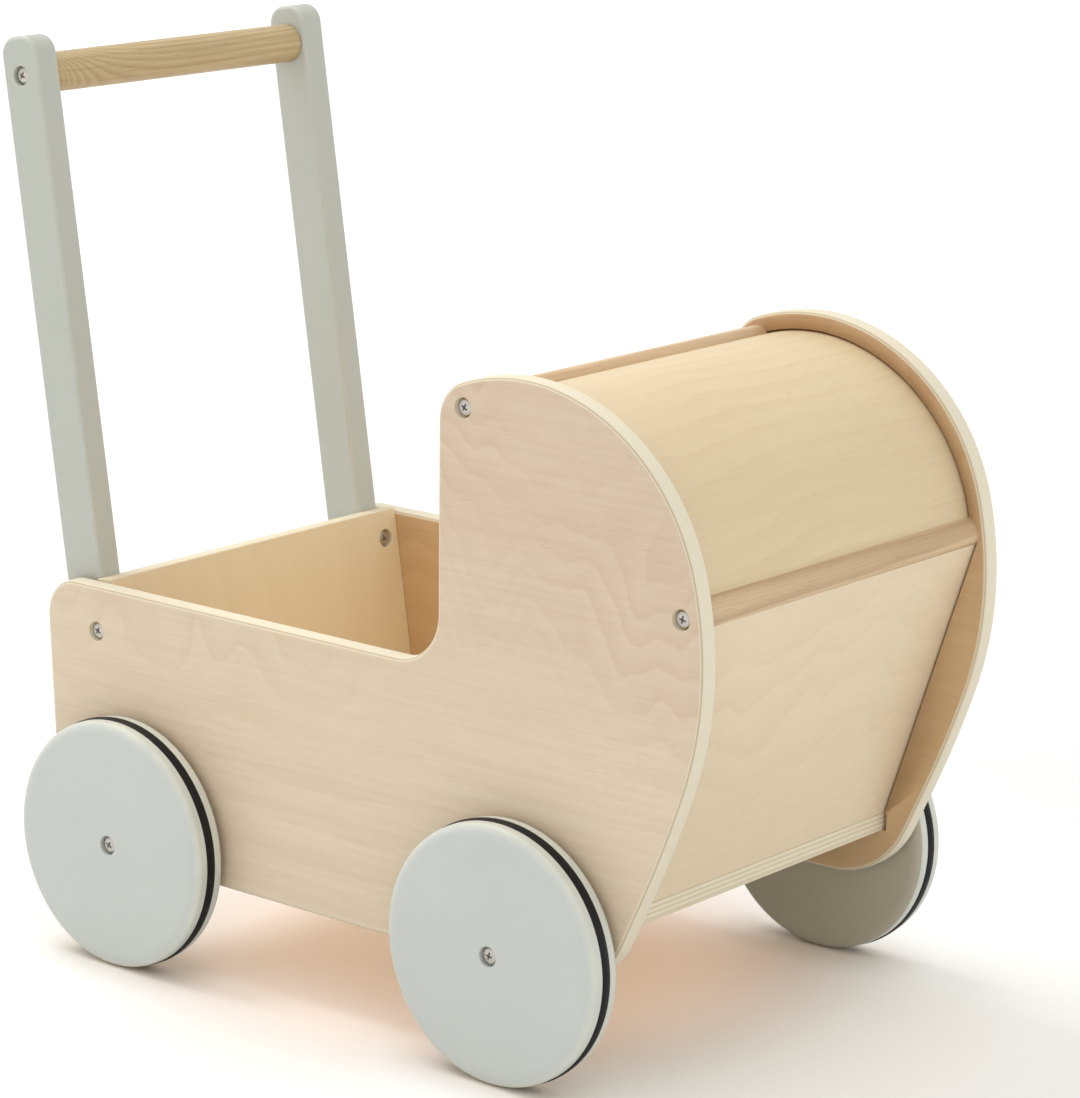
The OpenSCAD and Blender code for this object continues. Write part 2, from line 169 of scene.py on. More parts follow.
def makePlyGroup():
    # plies seen where a cut goes below the face veneer
    tree, given, out = newGroup(
        "cutPlies",
        [("Coords", "Vector", None), ("Thickness", "Float", 0.012), ("Plies", "Float", 9.0)],
        ["Cut", "Cross Ply", "Glue Line", "End Grain", "Under Face Band"])
    p = given["Coords"]
    depth = split(tree, p)[2]
    near = calc(tree, "MINIMUM", depth, calc(tree, "SUBTRACT", given["Thickness"], depth))
    tree.links.new(ramp(tree, near, 0.1 * mm, 0.42 * mm), out["Cut"])
    # a darker band just under the face, where the face meets the cut edge
    underFace = ramp(tree, near, 0.3 * mm, 0.7 * mm)
    underFace = times(tree, underFace, ramp(tree, near, 0.9 * mm, 1.4 * mm, 1.0, 0.0))
    tree.links.new(underFace, out["Under Face Band"])
    wander = calc(tree, "MULTIPLY_ADD", clouds(tree, p, (25.0, 25.0, 0.0)), 0.3 * mm, -0.15 * mm)
    ply = calc(tree, "DIVIDE", calc(tree, "ADD", depth, wander), given["Thickness"])
    ply = times(tree, ply, given["Plies"])
    parity = calc(tree, "MODULO", calc(tree, "FLOOR", ply), 2.0)
    tree.links.new(parity, out["Cross Ply"])
    off = calc(tree, "ABSOLUTE", calc(tree, "SUBTRACT", calc(tree, "FRACT", ply), 0.5))
    tree.links.new(ramp(tree, off, 0.42, 0.5), out["Glue Line"])
    specks = ramp(tree, clouds(tree, p, (900.0, 900.0, 500.0), 2.0, 0.6), 0.5, 0.75)
    tree.links.new(times(tree, specks, parity), out["End Grain"])
    return tree


def makeRingsGroup():
    # solid wood: growth rings about a pith line that bends away at one end
    tree, given, out = newGroup(
        "growthRings",
        [("Coords", "Vector", None), ("Ring Width", "Float", 0.0035), ("Pith Across", "Float", 0.03),
         ("Pith Depth", "Float", 0.02), ("Tilt", "Float", 0.05), ("Swirl", "Float", 0.0),
         ("Swirl Length", "Float", 0.05)],
        ["Late Wood", "Fibre", "Pores"])
    p = given["Coords"]
    along, across, depth = split(tree, p)
    bend = calc(tree, "EXPONENT", calc(tree, "DIVIDE", times(tree, along, -1.0), given["Swirl Length"]))
    drift = calc(tree, "MULTIPLY_ADD", along, given["Tilt"], times(tree, bend, given["Swirl"]))
    wave = calc(tree, "MULTIPLY_ADD", clouds(tree, p, (9.0, 30.0, 30.0)), 6 * mm, -3 * mm)
    acrossOff = calc(tree, "SUBTRACT", across, calc(tree, "ADD", given["Pith Across"], drift))
    acrossOff = calc(tree, "ADD", acrossOff, wave)
    depthOff = calc(tree, "SUBTRACT", depth, given["Pith Depth"])
    squares = calc(tree, "MULTIPLY_ADD", acrossOff, acrossOff, times(tree, depthOff, depthOff))
    ring = calc(tree, "FRACT", calc(tree, "DIVIDE", calc(tree, "SQRT", squares), given["Ring Width"]))
    late = times(tree, ramp(tree, ring, 0.2, 0.82), ramp(tree, ring, 0.88, 1.0, 1.0, 0.0))
    tree.links.new(late, out["Late Wood"])
    tree.links.new(clouds(tree, p, (14.0, 700.0, 700.0), 3.0, 0.65), out["Fibre"])
    tree.links.new(ramp(tree, clouds(tree, p, (80.0, 1900.0, 1900.0), 1.0), 0.66, 0.76), out["Pores"])
    return tree


def makeHandlingGroup():
    # what use leaves on any finish: faint smudges and hairline scratches
    tree, given, out = newGroup("handling", [("Coords", "Vector", None)], ["Smudge", "Scratch"])
    p = given["Coords"]
    tree.links.new(ramp(tree, clouds(tree, p, (16.0, 16.0, 16.0), 4.0, 0.6), 0.35, 0.7), out["Smudge"])
    hair = clouds(tree, p, (60.0, 1400.0, 240.0), 1.0)
    rare = ramp(tree, clouds(tree, p, (22.0, 22.0, 22.0)), 0.56, 0.7)
    tree.links.new(times(tree, ramp(tree, hair, 0.7, 0.76), rare), out["Scratch"])
    return tree


veneer, plies, rings, handling = makeVeneerGroup(), makePlyGroup(), makeRingsGroup(), makeHandlingGroup()
print("shared effects ready")


# materials

def newMaterial(name):
    made = bpy.data.materials.new(name)
    made.use_nodes = True
    tree = made.node_tree
    return made, tree, tree.nodes["Principled BSDF"]


def named(tree, name, output="Vector"):
    return addNode(tree, "Attribute", attribute_name=name).outputs[output]


def objectCoords(tree):
    return addNode(tree, "TexCoord").outputs["Object"]


def bumpInto(tree, shader, height, distance):
    made = addNode(tree, "Bump", {"Height": height, "Distance": distance})
    tree.links.new(made.outputs[0], shader.inputs["Normal"])


def veneerMaterial(name, look):
    made, tree, shader = newMaterial(name)
    coords = named(tree, "grain")
    figure = useGroup(
        tree, veneer, coords=coords, rings=look["rings"], sway=look["sway"], flame=look["flame"],
        calmBelow=look["calmBelow"])
    layers = useGroup(tree, plies, coords=coords, thickness=look["thickness"], plies=look["plies"])
    wear = useGroup(tree, handling, coords=coords)
    height, depth = split(tree, coords)[1:]
    # the face: two tones, then the figure, the fibres and the pores
    dark = linear(*look["dark"])
    face = blendColour(tree, figure["Tone"], linear(*look["pale"]), linear(*look["warm"]))
    face = blendColour(tree, times(tree, figure["Figure"], look["figure"]), face, dark)
    face = blendColour(tree, ramp(tree, figure["Fibre"], 0.35, 0.7, 0.0, look["fibre"]), face, dark)
    face = blendColour(tree, times(tree, figure["Pores"], look["pores"]), face, linear(*look["pore"]))
    top = ramp(tree, height, look["darkFrom"], look["darkFrom"] + 0.15)
    face = blendColour(tree, top, face, linear(*look["topTint"]), "MULTIPLY")
    # painted shade: the inner face of a board is made darker and warmer
    back = calc(tree, "GREATER_THAN", depth, look["thickness"] * 0.5)
    back = times(tree, back, look["back"])
    face = blendColour(tree, back, face, linear(*look["innerFaceShade"]), "MULTIPLY")
    # the cut edge, with its plies
    edge = linear(*look["edge"])
    for layer, share in (("Cross Ply", "crossPly"), ("Glue Line", "glueLine"),
                         ("End Grain", "endGrain"), ("Under Face Band", "underFaceBand")):
        edge = blendColour(tree, times(tree, layers[layer], look[share]), edge, linear(*look["glue"]))
    colour = blendColour(tree, layers["Cut"], face, edge)
    # painted shade in the grooves and the screw pockets
    recessShade = times(tree, named(tree, "recessShade", "Fac"), 0.9)
    colour = blendColour(tree, recessShade, colour, linear(*look["recessShade"]))
    tree.links.new(colour, shader.inputs["Base Color"])
    gloss = calc(tree, "MULTIPLY_ADD", figure["Fibre"], 0.16, look["roughness"] - 0.08)
    gloss = calc(tree, "MULTIPLY_ADD", wear["Smudge"], 0.05, gloss)
    gloss = calc(tree, "MULTIPLY_ADD", layers["Cut"], 0.08, gloss)
    tree.links.new(gloss, shader.inputs["Roughness"])
    relief = calc(tree, "MULTIPLY_ADD", figure["Pores"], -0.6, figure["Fibre"])
    relief = calc(tree, "MULTIPLY_ADD", layers["Glue Line"], times(tree, layers["Cut"], -0.15), relief)
    bumpInto(tree, shader, relief, 0.06 * mm)
    shader.inputs["Specular IOR Level"].default_value = 0.38
    return made


sideLook = {  # colours as seen on screen, sizes in metres
    "rings": 40.0, "sway": 5.0, "flame": 8.5, "calmBelow": 0.14, "figure": 0.37, "fibre": 0.27, "pores": 0.35,
    "pale": (224, 210, 184), "warm": (218, 200, 174), "dark": (196, 169, 141), "pore": (172, 143, 112),
    "darkFrom": 0.16, "topTint": (246, 241, 241),     # a little darker towards the top
    "back": 1.0, "innerFaceShade": (240, 221, 195),         # painted shade on the board's inner face
    "recessShade": (184, 126, 72),                         # painted shade on the floor of a groove or pocket
    "thickness": 12 * mm, "plies": 9.0, "edge": (228, 219, 196), "glue": (184, 164, 130),
    "crossPly": 0.05, "glueLine": 0.04, "endGrain": 0.08, "underFaceBand": 0.8, "roughness": 0.5,
}
tubLook = {
    **sideLook, "flame": 1.0, "calmBelow": -9.0, "figure": 0.3, "fibre": 0.2, "darkFrom": 9.0, "back": 0.0,
    "pale": (222, 202, 162), "warm": (218, 193, 154), "dark": (200, 169, 128), "edge": (232, 222, 196),
    "crossPly": 0.35, "glueLine": 0.25, "endGrain": 0.2, "underFaceBand": 0.3,
}
hoodLook = {
    **tubLook, "rings": 66.0, "sway": 4.0, "flame": 1.2, "figure": 0.26, "thickness": 4 * mm, "plies": 3.0,
    "pale": (223, 206, 169), "warm": (215, 195, 158), "dark": (196, 169, 130), "roughness": 0.44,
}
frontLook = {
    **hoodLook, "rings": 26.0, "sway": 9.0, "flame": 3.5, "figure": 0.22, "fibre": 0.14,
    "pale": (232, 216, 186), "warm": (227, 208, 176), "dark": (208, 182, 148),
}


def ringWood(name, look):
    made, tree, shader = newMaterial(name)
    coords = named(tree, "grain")
    grown = useGroup(
        tree, rings, coords=coords, ringWidth=look["ringWidth"], pithAcross=look["pith"][0],
        pithDepth=look["pith"][1], tilt=look["tilt"], swirl=look["swirl"], swirlLength=look["swirlLength"])
    wear = useGroup(tree, handling, coords=coords)
    late = linear(*look["late"])
    lateShare = times(tree, grown["Late Wood"], look["contrast"])
    colour = blendColour(tree, lateShare, linear(*look["early"]), late)
    colour = blendColour(tree, ramp(tree, grown["Fibre"], 0.4, 0.75, 0.0, look["fibre"]), colour, late)
    colour = blendColour(tree, times(tree, grown["Pores"], 0.5), colour, linear(*look["pore"]))
    tree.links.new(colour, shader.inputs["Base Color"])
    gloss = calc(tree, "MULTIPLY_ADD", grown["Late Wood"], -0.08, look["roughness"])
    gloss = calc(tree, "MULTIPLY_ADD", wear["Smudge"], 0.06, gloss)
    tree.links.new(gloss, shader.inputs["Roughness"])
    height = calc(tree, "MULTIPLY_ADD", grown["Late Wood"], 0.5, grown["Fibre"])
    bumpInto(tree, shader, calc(tree, "MULTIPLY_ADD", grown["Pores"], -0.6, height), look["relief"])
    shader.inputs["Specular IOR Level"].default_value = 0.4
    return made


barLook = {
    "ringWidth": 3.4 * mm, "pith": (-15 * mm, 55 * mm), "tilt": -0.04,
    "swirl": -50 * mm, "swirlLength": 30 * mm,        # the rings turn aside near one end, as beside a knot
    "contrast": 0.42, "early": (193, 172, 130), "late": (156, 128, 84), "pore": (140, 108, 68), "fibre": 0.5,
    "roughness": 0.46, "relief": 0.07 * mm,
}
railLook = {
    "ringWidth": 5.8 * mm, "pith": (70 * mm, 60 * mm), "tilt": 0.012, "swirl": 0.0, "swirlLength": 50 * mm,
    "contrast": 0.6, "early": (211, 184, 147), "late": (176, 144, 106), "pore": (155, 119, 82), "fibre": 0.45,
    "roughness": 0.48, "relief": 0.06 * mm,
}


def paintMaterial(name, look):
    made, tree, shader = newMaterial(name)
    coords = named(tree, "grain")
    wear = useGroup(tree, handling, coords=coords)
    throughGrain = clouds(tree, coords, (18.0, 520.0, 520.0), 2.0, 0.6)  # the wood shows faintly through
    peel = clouds(tree, coords, (800.0, 800.0, 800.0))
    patches = clouds(tree, coords, (14.0, 22.0, 22.0), 3.0, 0.55)
    colour = blendColour(tree, patches, linear(*look["colour"]), linear(*look["shade"]))
    colour = blendColour(tree, ramp(tree, throughGrain, 0.5, 0.8, 0.0, 0.22), colour, linear(*look["shade"]))
    edgeBreakup = ramp(tree, clouds(tree, coords, (50.0, 50.0, 50.0), 3.0, 0.6), 0.3, 0.7, 0.55, 1.0)
    paleEdge = times(tree, named(tree, "worn", "Fac"), edgeBreakup)  # lighter on the soft edges
    colour = blendColour(tree, times(tree, paleEdge, look["edgePaling"]), colour, linear(*look["paleEdge"]))
    # painted shade on a wheel's face towards the cradle
    colour = blendColour(tree, named(tree, "inner", "Fac"), colour, linear(*look["inner"]))
    tree.links.new(colour, shader.inputs["Base Color"])
    gloss = calc(tree, "MULTIPLY_ADD", wear["Smudge"], 0.07, look["roughness"])
    gloss = calc(tree, "MULTIPLY_ADD", wear["Scratch"], 0.15, gloss)
    tree.links.new(calc(tree, "MULTIPLY_ADD", paleEdge, -0.06, gloss), shader.inputs["Roughness"])
    height = calc(tree, "MULTIPLY_ADD", throughGrain, 0.7, peel)
    bumpInto(tree, shader, calc(tree, "MULTIPLY_ADD", wear["Scratch"], -0.8, height), 0.04 * mm)
    shader.inputs["Specular IOR Level"].default_value = 0.42
    return made


wheelPaint = {
    "colour": (201, 206, 201), "shade": (195, 199, 194), "paleEdge": (224, 224, 208), "edgePaling": 0.6,
    "inner": (183, 176, 158),                         # painted shade on a wheel's face towards the cradle
    "roughness": 0.5,
}
uprightPaint = {
    **wheelPaint,
    "colour": (188, 191, 182), "shade": (181, 184, 174), "paleEdge": (206, 208, 198), "edgePaling": 0.3,
}


def rubberMaterial(name):
    made, tree, shader = newMaterial(name)
    coords = objectCoords(tree)
    wear = useGroup(tree, handling, coords=coords)
    dusty = clouds(tree, coords, (60.0, 60.0, 60.0), 4.0, 0.65)
    dust = ramp(tree, dusty, 0.45, 0.8, 0.0, 0.4)
    colour = blendColour(tree, dust, linear(16, 16, 18), linear(42, 41, 40))
    tree.links.new(colour, shader.inputs["Base Color"])
    tree.links.new(calc(tree, "MULTIPLY_ADD", wear["Smudge"], 0.12, 0.5), shader.inputs["Roughness"])
    bumpInto(tree, shader, clouds(tree, coords, (1500.0, 1500.0, 1500.0), 3.0, 0.6), 0.03 * mm)
    shader.inputs["Specular IOR Level"].default_value = 0.28
    return made


def metalMaterial(name, look):
    made, tree, shader = newMaterial(name)
    coords = objectCoords(tree)
    wear = useGroup(tree, handling, coords=coords)
    plating = clouds(tree, coords, (700.0, 700.0, 700.0), 4.0, 0.6)
    colour = blendColour(tree, plating, linear(*look["bright"]), linear(*look["dull"]))
    tree.links.new(colour, shader.inputs["Base Color"])
    gloss = calc(tree, "MULTIPLY_ADD", plating, 0.14, look["roughness"])
    tree.links.new(calc(tree, "MULTIPLY_ADD", wear["Smudge"], 0.08, gloss), shader.inputs["Roughness"])
    bumpInto(tree, shader, calc(tree, "ADD", plating, wear["Scratch"]), 0.02 * mm)
    shader.inputs["Metallic"].default_value = 1.0
    return made


def nylonMaterial(name):
    made, tree, shader = newMaterial(name)
    coords = objectCoords(tree)
    milky = clouds(tree, coords, (300.0, 300.0, 300.0), 3.0, 0.6)
    colour = blendColour(tree, milky, linear(238, 238, 230), linear(226, 226, 216))
    tree.links.new(colour, shader.inputs["Base Color"])
    tree.links.new(calc(tree, "MULTIPLY_ADD", milky, 0.1, 0.4), shader.inputs["Roughness"])
    bumpInto(tree, shader, milky, 0.02 * mm)
    return made


steelLook = {"bright": (218, 214, 208), "dull": (172, 167, 160), "roughness": 0.3}
brassLook = {"bright": (222, 190, 122), "dull": (190, 156, 92), "roughness": 0.3}
birch = veneerMaterial("birchPly", sideLook)
birchTub = veneerMaterial("birchPlyTub", tubLook)
thinBirch = veneerMaterial("thinBirchPly", hoodLook)
frontBirch = veneerMaterial("thinBirchFront", frontLook)
barWood = ringWood("turnedPine", barLook)
railWood = ringWood("turnedRail", railLook)
wheelGrey = paintMaterial("wheelPaint", wheelPaint)
uprightGrey = paintMaterial("uprightPaint", uprightPaint)
blackRubber = rubberMaterial("blackRubber")
plainNylon = nylonMaterial("plainNylon")
zincSteel = metalMaterial("zincSteel", steelLook)
turnedBrass = metalMaterial("turnedBrass", brassLook)
print("materials ready")


# mesh helpers

def cleanCopy(node):
    # the part's own shape, welded, with its flat faces whole again
    bm = bmesh.new()
    bm.from_mesh(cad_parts[node].data)
    bmesh.ops.remove_doubles(bm, verts=bm.verts, dist=0.02 * mm)
    bmesh.ops.dissolve_limit(bm, angle_limit=math.radians(0.4), verts=bm.verts, edges=bm.edges)
    return bm


def edgeRuns(bm):
    # sharp edges in connected runs, each with the length of its box's diagonal
    sharp = {e for e in bm.edges if len(e.link_faces) == 2 and e.calc_face_angle(0.0) > math.radians(40)}
    runs = []
    while sharp:
        run, waiting = set(), [sharp.pop()]
        while waiting:
            e = waiting.pop()
            run.add(e)
            for v in e.verts:
                for other in v.link_edges:
                    if other in sharp:
                        sharp.discard(other)
                        waiting.append(other)
        places = np.array([v.co for e in run for v in e.verts])
        runs.append((float(np.linalg.norm(np.ptp(places, axis=0))), run))
    return runs


longRuns = (0.1, 1.0)        # sizes of the edge runs round a board
screwRuns = (0.008, 0.02)    # round a screw's pocket
boltRuns = (0.013, 0.018)    # and round a bolt's


def roundEdges(bm, rules):
    # rules: (sizes of the runs, rounding, segments)
    worn = bm.verts.layers.float.new("worn")
    for (shortest, longest), width, segments in rules:
        chosen = [e for span, run in edgeRuns(bm) if shortest <= span < longest for e in run]
        if not chosen:
            continue
        made = bmesh.ops.bevel(
            bm, geom=sorted(chosen, key=lambda e: e.index), offset=width, offset_type="OFFSET",
            segments=segments, profile=0.5, affect="EDGES", clamp_overlap=False, loop_slide=False)
        fresh = set(made["faces"])
        for v in made["verts"]:
            if all(f in fresh for f in v.link_faces):
                v[worn] = 1.0
    return bm


def refill(bm, direction, level):
    # one flat side of a board made again from its outline and holes alone
    direction = Vector(direction)

    def liesFlat(face):
        atLevel = (abs(v.co.dot(direction) - level) < 0.01 * mm for v in face.verts)
        return face.normal.dot(direction) > 0.999 and all(atLevel)

    bmesh.ops.delete(bm, geom=[f for f in bm.faces if liesFlat(f)], context="FACES")
    rim = [e for e in bm.edges if len(e.link_faces) == 1]
    flat = bm.faces.layers.int.get("flat") or bm.faces.layers.int.new("flat")
    made = bmesh.ops.triangle_fill(bm, use_beauty=True, edges=rim, normal=direction)
    for item in made["geom"]:
        if isinstance(item, bmesh.types.BMFace):
            item[flat] = 1


def toObject(bm, name):
    mesh = bpy.data.meshes.new(name)
    bmesh.ops.recalc_face_normals(bm, faces=bm.faces)
    bm.to_mesh(mesh)
    bm.free()
    mesh.polygons.foreach_set("use_smooth", [True] * len(mesh.polygons))
    mesh.set_sharp_from_angle(angle=math.radians(34))
    made = bpy.data.objects.new(name, mesh)
    scene.collection.objects.link(made)
    return made


def points(mesh):
    places = np.empty(len(mesh.vertices) * 3)
    mesh.vertices.foreach_get("co", places)
    return places.reshape(-1, 3)


def pointGrain(made, values):
    layer = made.data.attributes.new("grain", "FLOAT_VECTOR", "POINT")
    layer.data.foreach_set("vector", np.asarray(values, np.float32).ravel())


def faceMask(made, name, values):
    layer = made.data.attributes.new(name, "FLOAT", "FACE")
    layer.data.foreach_set("value", [float(value) for value in values])


def boardGrain(made, origin, along, across, depth, seed):
    # the wood's own directions: along the fibre, across it, and into the thickness from origin
    away = points(made.data) - np.array(origin)
    values = [away @ np.array(direction) for direction in (along, across, depth)]
    values[0] += 1.37 * seed
    pointGrain(made, np.stack(values, axis=1))


def evenShading(made):
    tool = made.modifiers.new("evenShading", "WEIGHTED_NORMAL")
    tool.keep_sharp = True


def flatShading(made):
    # rounded edges run out exactly flush with the flat sides they belong to
    mesh = made.data
    normals = [Vector(n.vector) for n in mesh.corner_normals]
    flush = {}
    for face, tag in zip(mesh.polygons, mesh.attributes["flat"].data):
        if tag.value:
            for index in face.vertices:
                flush[index] = face.normal.copy()
    for corner, place in enumerate(mesh.loops):
        flat = flush.get(place.vertex_index)
        if flat is not None and normals[corner].dot(flat) > 0.8:
            normals[corner] = flat
    mesh.normals_split_custom_set(normals)


def finish(made, material):
    made.data.materials.clear()
    made.data.materials.append(material)


def settle(made, material, body, node):
    finish(made, material)
    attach(made, body)
    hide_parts(node)


# boards

sidePanel = {
    "rounding": 2.8 * mm, "segments": 6, "outlineRuns": (0.53, 2.0),  # the outline alone, not the groove
    "pocketRounding": 0.45 * mm, "pocketDepth": 4.2 * mm,
    "grooveDepth": 5 * mm,
}


def makeSidePanel(name, node, sign, seed):
    low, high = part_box(node)
    bm = cleanCopy(node)
    roundEdges(bm, [(sidePanel["outlineRuns"], sidePanel["rounding"], sidePanel["segments"]),
                    (boltRuns, sidePanel["pocketRounding"], 2)])
    bm.normal_update()
    for direction in (side, -side):
        refill(bm, direction, high.y if direction.y > 0 else -low.y)
    made = toObject(bm, name)
    outerFace = high.y if sign > 0 else low.y
    boardGrain(made, (0, outerFace, 0), (1, 0, 0), (0, 0, 1), (0, -sign, 0), seed)
    # faces at the floors of the groove and the pockets get painted shade
    grooveFloor = abs(outerFace) - (high.y - low.y) + sidePanel["grooveDepth"]
    pocketFloor = abs(outerFace) - sidePanel["pocketDepth"]
    reach = np.abs(points(made.data)[:, 1])
    deep = np.minimum(np.abs(reach - grooveFloor), np.abs(reach - pocketFloor)) < 0.03 * mm
    faceMask(made, "recessShade", [any(deep[i] for i in face.vertices) for face in made.data.polygons])
    flatShading(made)
    settle(made, birch, "cradle", node)


makeSidePanel("rightSidePanel", "right_side_panel", -1, 1.0)
makeSidePanel("leftSidePanel", "left_side_panel", 1, 2.0)


def makeBoard(name, node, rules, directions, seed, material):
    # directions: where the depth starts, along, across, depth
    made = toObject(roundEdges(cleanCopy(node), rules), name)
    boardGrain(made, *directions, seed)
    evenShading(made)
    settle(made, material, "cradle", node)


innerBoards = {"backEdge": 0.7 * mm, "backPocket": 0.4 * mm, "floorEdge": 0.5 * mm, "frontEdge": 0.3 * mm}

backLow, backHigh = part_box("back_panel")
backTopRear = (backLow.x, 0, backHigh.z)  # near the rear face's top
makeBoard("backPanel", "back_panel",
          [(longRuns, innerBoards["backEdge"], 3), (screwRuns, innerBoards["backPocket"], 2)],
          (backTopRear, leanUp, side, leanFront), 3.0, birchTub)

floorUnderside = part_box("floor_board")[0].z
makeBoard("floorBoard", "floor_board", [(longRuns, innerBoards["floorEdge"], 2)],
          ((0, 0, floorUnderside), (1, 0, 0), side, (0, 0, 1)), 4.0, birchTub)

frontLean = math.radians(18.45)  # of the front panel
frontUp = Vector((math.sin(frontLean), 0, math.cos(frontLean)))
frontOut = Vector((math.cos(frontLean), 0, -math.sin(frontLean)))
frontMesh = points(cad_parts["front_panel"].data)
frontFace = Vector(frontMesh[int(np.argmax(frontMesh @ np.array(frontOut)))])
makeBoard("frontPanel", "front_panel", [(longRuns, innerBoards["frontEdge"], 2)],
          (frontFace, side, frontUp, -frontOut), 5.0, frontBirch)
print("boards ready")


# bent hood

hoodSheet = {
    "centre": (134.4 * mm, 248.7 * mm),  # of its curve, along and up
    "outer": 105.3 * mm, "thickness": 4 * mm,
    "arcSteps": 120, "acrossSteps": 24,
    "waver": 0.12 * mm, "waverScale": (2.2, 14, 3.1), "waverLevel": 0.35,  # how uneven the bent sheet is
    "calmEnds": 6,                       # and even again at a sixth from its ends
    "grainStart": (8.2, 5.5),            # which stretch of the wood's figure it shows
}


def makeHood():
    cx, cz = hoodSheet["centre"]
    old = points(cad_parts["hood_sheet"].data)
    turns = np.arctan2(old[:, 0] - cx, old[:, 2] - cz)
    low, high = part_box("hood_sheet")
    outer, thickness = hoodSheet["outer"], hoodSheet["thickness"]
    arcSteps, acrossSteps = hoodSheet["arcSteps"], hoodSheet["acrossSteps"]
    alongScale, acrossScale, place = hoodSheet["waverScale"]
    waver, waverLevel, calmEnds = hoodSheet["waver"], hoodSheet["waverLevel"], hoodSheet["calmEnds"]
    grainAlong, grainAcross = hoodSheet["grainStart"]
    bm = bmesh.new()
    skins, grain = [], []
    for depth in (0.0, thickness):
        skin = []
        for i in range(arcSteps + 1):
            turn = turns.min() + (turns.max() - turns.min()) * i / arcSteps
            row = []
            for j in range(acrossSteps + 1):
                y = low.y + (high.y - low.y) * j / acrossSteps
                ease = min(1.0, calmEnds * i / arcSteps, calmEnds * (1 - i / arcSteps))
                bump = noise.noise(Vector((turn * alongScale, y * acrossScale, place))) - waverLevel
                r = outer - depth + waver * ease * bump
                row.append(bm.verts.new((cx + r * math.sin(turn), y, cz + r * math.cos(turn))))
                grain.append((y + grainAlong, turn * outer + grainAcross, depth))
            skin.append(row)
        skins.append(skin)
    for i in range(arcSteps):
        for j in range(acrossSteps):
            for skin in skins:
                bm.faces.new((skin[i][j], skin[i + 1][j], skin[i + 1][j + 1], skin[i][j + 1]))
    for i in range(arcSteps):
        for j in (0, acrossSteps):
            bm.faces.new((skins[0][i][j], skins[0][i + 1][j], skins[1][i + 1][j], skins[1][i][j]))
    for j in range(acrossSteps):
        for i in (0, arcSteps):
            bm.faces.new((skins[0][i][j], skins[0][i][j + 1], skins[1][i][j + 1], skins[1][i][j]))
    made = toObject(bm, "hoodSheet")
    pointGrain(made, grain)
    settle(made, thinBirch, "cradle", "hood_sheet")


makeHood()
print("hood ready")


# rails and handle bar

def middleOf(node):
    low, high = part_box(node)
    return (low + high) / 2


def makeRail(name, node, seed):
    middle = middleOf(node)
    made = toObject(cleanCopy(node), name)
    boardGrain(made, (middle.x, 0, middle.z), side, (1, 0, 0), (0, 0, 1), seed)
    evenShading(made)
    settle(made, railWood, "cradle", node)


makeRail("topHoodRail", "top_hood_rail", 0.9)
makeRail("frontHoodRail", "front_hood_rail", 1.7)


handleBar = {"rounding": 0.8 * mm, "segments": 3, "endRuns": (0.028, 0.035)}


def makeBar():
    middle, rightEnd = middleOf("handle_bar"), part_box("handle_bar")[0].y
    rules = [(handleBar["endRuns"], handleBar["rounding"], handleBar["segments"])]
    made = toObject(roundEdges(cleanCopy("handle_bar"), rules), "handleBar")
    boardGrain(made, (middle.x, rightEnd, middle.z), side, leanFront, leanUp, 0.0)
    evenShading(made)
    settle(made, barWood, "cradle", "handle_bar")


makeBar()
print("rails and bar ready")


# uprights

post = {"rounding": 2.4 * mm, "segments": 5, "pocketRounding": 0.4 * mm}
postRules = [(longRuns, post["rounding"], post["segments"]), (boltRuns, post["pocketRounding"], 2)]
posts = (("rightUpright", "right_upright", 6.0), ("leftUpright", "left_upright", 7.0))
for postName, postNode, postSeed in posts:
    makeBoard(postName, postNode, postRules, (middleOf(postNode), leanUp, side, leanFront),
              postSeed, uprightGrey)
print("uprights ready")


# wheels, all turned about their axle

def turned(bm, profile, place, axis, steps):
    # revolves a closed profile of (radius, height) about axis through place
    axis = Vector(axis).normalized()
    first = axis.orthogonal().normalized()
    second = axis.cross(first)
    loops = []
    for k in range(steps):
        angle = 2 * math.pi * k / steps
        outward = first * math.cos(angle) + second * math.sin(angle)
        loops.append([bm.verts.new(Vector(place) + outward * r + axis * h) for r, h in profile])
    for k in range(steps):
        here, there = loops[k], loops[(k + 1) % steps]
        for i in range(len(profile)):
            n = (i + 1) % len(profile)
            bm.faces.new((here[i], here[n], there[n], there[i]))


def curveOver(centre, radii, start, end, steps):
    # part of an ellipse from start to end degrees, in (radius, height)
    made = []
    for i in range(steps + 1):
        angle = math.radians(start + (end - start) * i / steps)
        made.append((centre[0] + radii[0] * math.cos(angle), centre[1] + radii[1] * math.sin(angle)))
    return made


wheelLabels = ("rear_right", "rear_left", "front_right", "front_left")
wheel = {
    "roundIn": 6.5 * mm,        # the soft edge, measured towards the middle of the disc
    "roundDown": 4.0 * mm,      # and measured along the axle
    "grooveDepth": 3.5 * mm, "grooveWidth": 5.8 * mm, "grooveLip": 0.4 * mm,
    "bore": 5 * mm, "pocket": 5.4 * mm, "pocketDepth": 4.5 * mm, "pocketLip": 0.5 * mm,
    "grain": (0.97, 0.24),      # the fibre's direction, along and up
    "steps": 160,
}
tyre = {
    "proud": 0.7 * mm,          # how far the rubber ring stands out of the rim
    "crown": 0.9 * mm, "shoulder": 1.3 * mm, "chamfer": 0.15 * mm,
    "seam": 0.35 * mm, "seamHeight": 0.06 * mm,
}


def pieceName(label, ending):
    # rear_right and Wheel give rearRightWheel
    first, second = label.split("_")
    return first + second.title() + ending


def sided(node):
    # the middle and size of a wheel or ring, which side it is on, and its face towards the cradle
    low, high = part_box(node)
    sign = 1 if high.y > 0 else -1
    middle = (low + high) / 2
    return middle, high - low, sign, Vector((middle.x, low.y if sign > 0 else high.y, middle.z))


